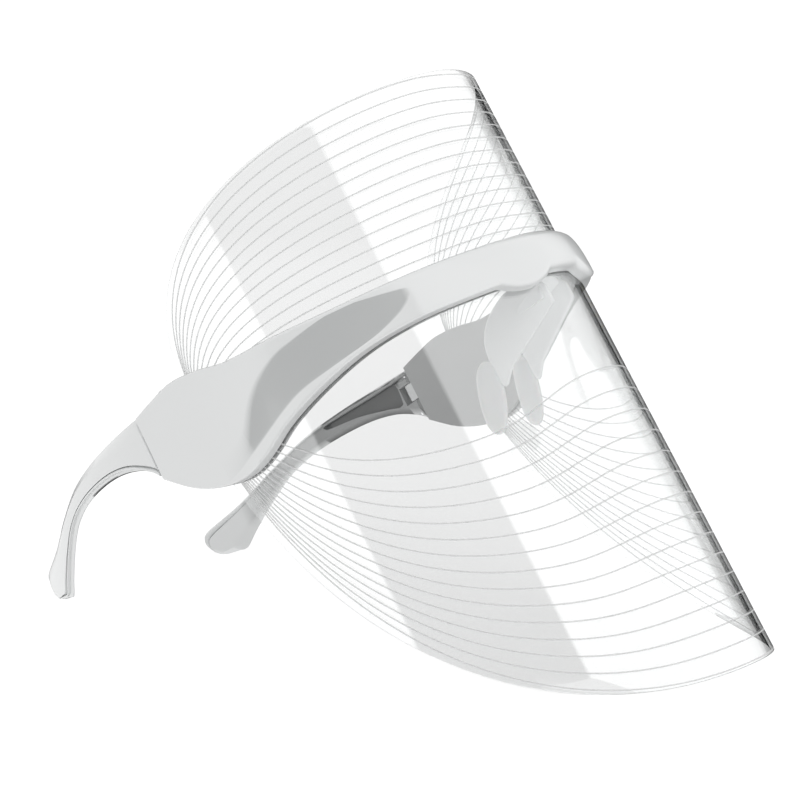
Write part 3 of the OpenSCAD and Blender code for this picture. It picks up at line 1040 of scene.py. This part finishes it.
def arm_out(y):
    """How far out the arm's outer face lies at depth y. It bows inwards to the rear."""
    return HALF_W + FRAME_OUT - 33 * (max(y - ARM_START, 0) / 102) ** 1.35


def arm_thick(y):
    """The arm's thickness at depth y, greatest at the hinge."""
    return 4.2 + 4.1 * math.exp((ARM_START - y) / 18)


def arm_ring(top, bottom, inset):
    """A rounded section of the arm between a point of its top edge and one of its bottom edge."""
    height = float(np.linalg.norm(top - bottom))
    thick = arm_thick(float(top[0] + bottom[0]) / 2)
    r = min(1.5, 0.42 * thick, 0.42 * height)
    corners = [(r, r, math.pi), (r, height - r, math.pi / 2),
               (thick - r, height - r, 0.0), (thick - r, r, -math.pi / 2)]
    section = []
    for c, v, start in corners:
        for i in range(7):
            a = start - math.pi / 2 * i / 6
            section.append((c + (r - inset) * math.cos(a), v + (r - inset) * math.sin(a)))
        if c == r and v == r:
            section += [(inset, r + (height - 2 * r) * i / 7) for i in range(1, 7)]
        if c != r and v != r:
            section += [(thick - inset, height - r - (height - 2 * r) * i / 7) for i in range(1, 7)]
    placed = []
    for c, v in section:
        y, z = bottom + (top - bottom) * v / height
        crown = 0.3 * (2 * v / height - 1) ** 2 if c < thick / 2 else 0.0
        placed.append((arm_out(y) - c - crown, y, z))
    return placed


def arm_body():
    """The arm's outside, rounded over at both ends."""
    over = along_curve(ARM_TOP)
    under = along_curve(ARM_BOTTOM)
    stops = [(0.0, 0.65), (0.005, 0.0)]
    stops += [(t, 0.0) for t in np.linspace(0.012, 0.965, 84)]
    stops += [(0.98, 0.05), (0.99, 0.25), (1.0, 0.7)]
    return loft([arm_ring(over(t), under(t), inset) for t, inset in stops])


def hollow_cutter():
    """What the long hollow takes out of the arm's inner side, following the arm's bow."""
    outline = evenly(smooth_curve([*ARM_HOLLOW, ARM_HOLLOW[0]], 5)[:-1].tolist(), 1.2)
    middle = np.mean(outline, axis=0)
    rings = []
    for depth, shrink in ((2.4, 0.90), (2.0, 0.955), (-3.0, 1.0)):
        ring = []
        for p in outline:
            y, z = middle + (np.array(p) - middle) * shrink
            ring.append((arm_out(y) - arm_thick(y) + depth, y, z))
        rings.append(ring)
    return loft(rings)


def upright(outline, heights):
    """A block over an (x, y) outline, between two heights."""
    return loft([[(x, y, z) for x, y in outline] for z in heights])


def knuckle_pocket():
    """Room in the arm's front end for the housing's knuckle."""
    left, right = PIN.x - 6, PIN.x + 3.6
    front, rear = ARM_START - 1, PIN.y + 4.6
    return upright([(left, front), (right, front), (right, rear), (left, rear)],
                   (KNUCKLE_Z[0] - 0.3, KNUCKLE_Z[1] + 0.3))


def front_bevel():
    """What bevels the front end's inner corner, which would meet the housing as the arm folds."""
    return upright([(PIN.x - 5, ARM_START - 1), (PIN.x - 5, ARM_START + 1.8),
                    (PIN.x - 2.2, ARM_START + 1.8), (PIN.x - 0.2, ARM_START),
                    (PIN.x - 0.2, ARM_START - 1)], (-20, 60))


def ear_arm(side, material):
    """An ear arm: bowed inwards, hollow on its inner side, with a foot that rests on the table."""
    name = ("left" if side > 0 else "right") + "_arm"
    shapes = [arm_body(), hollow_cutter(), knuckle_pocket(), front_bevel()]
    if side < 0:
        shapes = [mirrored(*shape) for shape in shapes]
    arm = solid(name + "_shell", *shapes[0], sharp=30)
    cut(arm, *(solid("tool", *shape) for shape in shapes[1:]), sharp=30)
    stand_flat(arm)
    paint_shade_inside_arm(arm)
    finish_piece(arm, name, "arm", material, name.replace("arm", "ear_arm"))


def paint_shade_inside_arm(arm):
    """Paints shade on the arm's inner side, and darker shade on the floor and walls of its hollow."""
    layer = arm.data.attributes.new("scoop", "FLOAT", "POINT")
    for i, v in enumerate(arm.data.vertices):
        x, y, _ = as_worn(v.co)
        depth = arm_thick(y) - arm_out(y) + abs(x)
        on_face = -0.1 < depth < 1.2
        # Painted shade: part strength on the inner face, fading out over the 10 mm before the foot, and full
        # strength in the hollow
        if on_face:
            layer.data[i].value = max(0.0, min(1.0, (FOOT_Y - y) / 10)) * 0.6
        elif depth < 2.6 and HOLLOW_SPAN[0] < y < HOLLOW_SPAN[1]:
            layer.data[i].value = 1.0


def stand_flat(piece):
    """Cuts a piece flat where it stands on the table."""
    bm = bmesh.new()
    bm.from_mesh(piece.data)
    bmesh.ops.bisect_plane(bm, geom=[*bm.verts, *bm.edges, *bm.faces], dist=1e-7,
                           plane_co=(0, 0, 0), plane_no=(0, 0, -1), clear_outer=True)
    rim = [e for e in bm.edges if e.is_boundary]
    if rim:
        bmesh.ops.holes_fill(bm, edges=rim, sides=0)
    bm.to_mesh(piece.data)
    bm.free()
    smooth(piece.data, 30)


# ---------------------------------------------------------------- nose piece


def on_plate(side):
    """Puts (along, up, across) on a nose plate, which turns outwards towards its lower rear."""
    def place(v, z, w):
        x = PLATE_START[0] + v * math.sin(PLATE_TURN) + w * math.cos(PLATE_TURN)
        y = PLATE_START[1] + v * math.cos(PLATE_TURN) - w * math.sin(PLATE_TURN)
        return side * x, y, z
    return place


def nose_plate(side):
    """One of the two side plates of the nose piece."""
    outline = [*PLATE_FRONT, *smooth_curve(PLATE_REAR, 6).tolist()]
    return slab(outline, 0.9, 0.8, 1.3, on_plate(side))


def nose_arch():
    """The arch that joins the plates over the nose, thick at its crown and rounded at its edges."""
    sides = 24
    rings = []
    for y, inset in ((4.6, 0.45), (5.0, 0.1), (5.5, 0.0), (11.0, 0.0), (17.1, 0.0), (17.6, 0.1), (18, 0.45)):
        half_turn = [math.pi * i / sides for i in range(sides + 1)]
        ring = [((9.5 - inset) * math.cos(a), y, 1 + (9.5 - inset) * math.sin(a)) for a in half_turn]
        ring += [((7.7 + inset) * math.cos(a), y, 1 + (7.7 + inset) * math.sin(a))
                 for a in reversed(half_turn)]
        rings.append(ring)
    return loft(rings)


def nose_flange():
    """The plate that fixes the nose piece behind the brow's cover."""
    reach, low, high = 11.4, 10.5, 17.5
    outline = []
    for cx, cz, start in ((reach, low, -90), (reach, high, 0), (-reach, high, 90), (-reach, low, 180)):
        for i in range(7):
            a = math.radians(start + 90 * i / 6)
            outline.append((cx + 2 * math.cos(a) - math.copysign(1, cx), cz + 2 * math.sin(a)))
    middle = COVER_OUT - 2.4
    return slab(outline, 0.75, 0.6, 1.5, lambda s, z, w: (*plan(s, middle + w), z))


def nose_bridge(material):
    """The moulded saddle: two plates, the arch over the nose and the flange that holds them."""
    saddle = joined(nose_plate(1), nose_plate(-1), nose_arch(), nose_flange())
    finish_piece(solid("nose_saddle", *saddle, sharp=50), "frame", "nose", material, "nose_bridge")


def nose_pad(side, material):
    """A soft pad moulded round the end of a nose plate."""
    name = ("left" if side > 0 else "right") + "_nose_pad"
    outline = smooth_curve([*PAD_OUTLINE, PAD_OUTLINE[0]], 6)[:-1].tolist()
    made = slab(outline, 1.7, 2.6, 1.0, on_plate(side))
    finish_piece(solid(name + "_soft", *made, sharp=60), "frame", "nose_pad", material, name)


# ---------------------------------------------------------------- controls


def power_button(material):
    """The power button: a slim key with a dished top."""
    levels = [(0.55, 29.3), (0.6, 29.35), (0.6, 30.0), (0.0, 30.1), (0.0, 33.1), (-0.12, 33.35),
              (-0.35, 33.48), (-0.55, 33.5), (-0.75, 33.4), (-1.1, 33.3)]
    made = stacked(lambda grow: stadium(BUTTON_SIZE, (-CONTROL_X, BUTTON_Y), grow), levels)
    finish_piece(solid("button_key", *made), "button", "button", material, "power_button")


def repaint(materials):
    """Gives the CAD pieces that stay visible their finish. The covers' grey is partly their own and partly
    painted shade.
    """
    for name, material in materials.items():
        slots = frame["nodes"][name].data.materials
        for i in range(len(slots)):
            slots[i] = material


def main():
    """Builds the camera, the studio and every piece."""
    camera()
    studio()
    # Painted shade on the frame's scoop: the second colour is its darker tone
    shell_plastic = plastic_with_painted_shade("frame_gloss_painted_shade", (0.47, 0.48, 0.48))
    # Painted shade on the arms: nearly black in the hollows, greyer on the inner faces
    arm_plastic = plastic_with_painted_shade("arm_gloss", (0.05, 0.052, 0.052))
    # The covers' grey is partly their own plastic and partly painted shade, as they face inwards behind the
    # sheets
    cover_plastic_with_shade = moulded_plastic("cover_satin_with_shade", (0.43, 0.435, 0.435), 0.42)
    nose_plastic = moulded_plastic("nose_plastic", (0.88, 0.89, 0.89), 0.34, 0.1)
    glass = clear_sheet()
    brow_shell(shell_plastic)
    sheet("upper_sheet", "upper_shield", upper_span, glass)
    sheet("lower_sheet", "lower_shield", lower_span, glass)
    engraved_lines(frosted_line())
    for side in (1, -1):
        ear_arm(side, arm_plastic)
    nose_bridge(nose_plastic)
    pads = soft_silicone()
    for side in (1, -1):
        nose_pad(side, pads)
    power_button(moulded_plastic("button_plastic", (0.55, 0.56, 0.57), 0.3, 0.3))
    steel = metal("bright_steel", (0.62, 0.62, 0.63), 0.28)
    board = circuit_board()
    flexible = moulded_plastic("strip_film", (0.80, 0.78, 0.70), 0.5)
    lamp = lamp_glass()
    repaint({
        "brow_back_cover": cover_plastic_with_shade,
        "left_housing_cover": cover_plastic_with_shade,
        "right_housing_cover": cover_plastic_with_shade,
        "left_hinge_pin": steel,
        "right_hinge_pin": steel,
        "left_cover_screws": steel,
        "right_cover_screws": steel,
        "brow_screws": steel,
        "usb_socket": metal("socket_metal", (0.70, 0.70, 0.71), 0.2),
        "upper_led_strip": flexible,
        "lower_led_strip": flexible,
        "upper_leds": lamp,
        "lower_leds": lamp,
        "battery": moulded_plastic("cell_wrap", (0.30, 0.36, 0.46), 0.45),
        "charge_board": board,
        "control_board": board,
        "board_chips": moulded_plastic("chip_resin", (0.03, 0.03, 0.035), 0.5),
        "button_switch": moulded_plastic("switch_resin", (0.06, 0.06, 0.065), 0.45),
        "battery_lead": moulded_plastic("wire_sleeve", (0.42, 0.03, 0.03), 0.4),
    })


main()
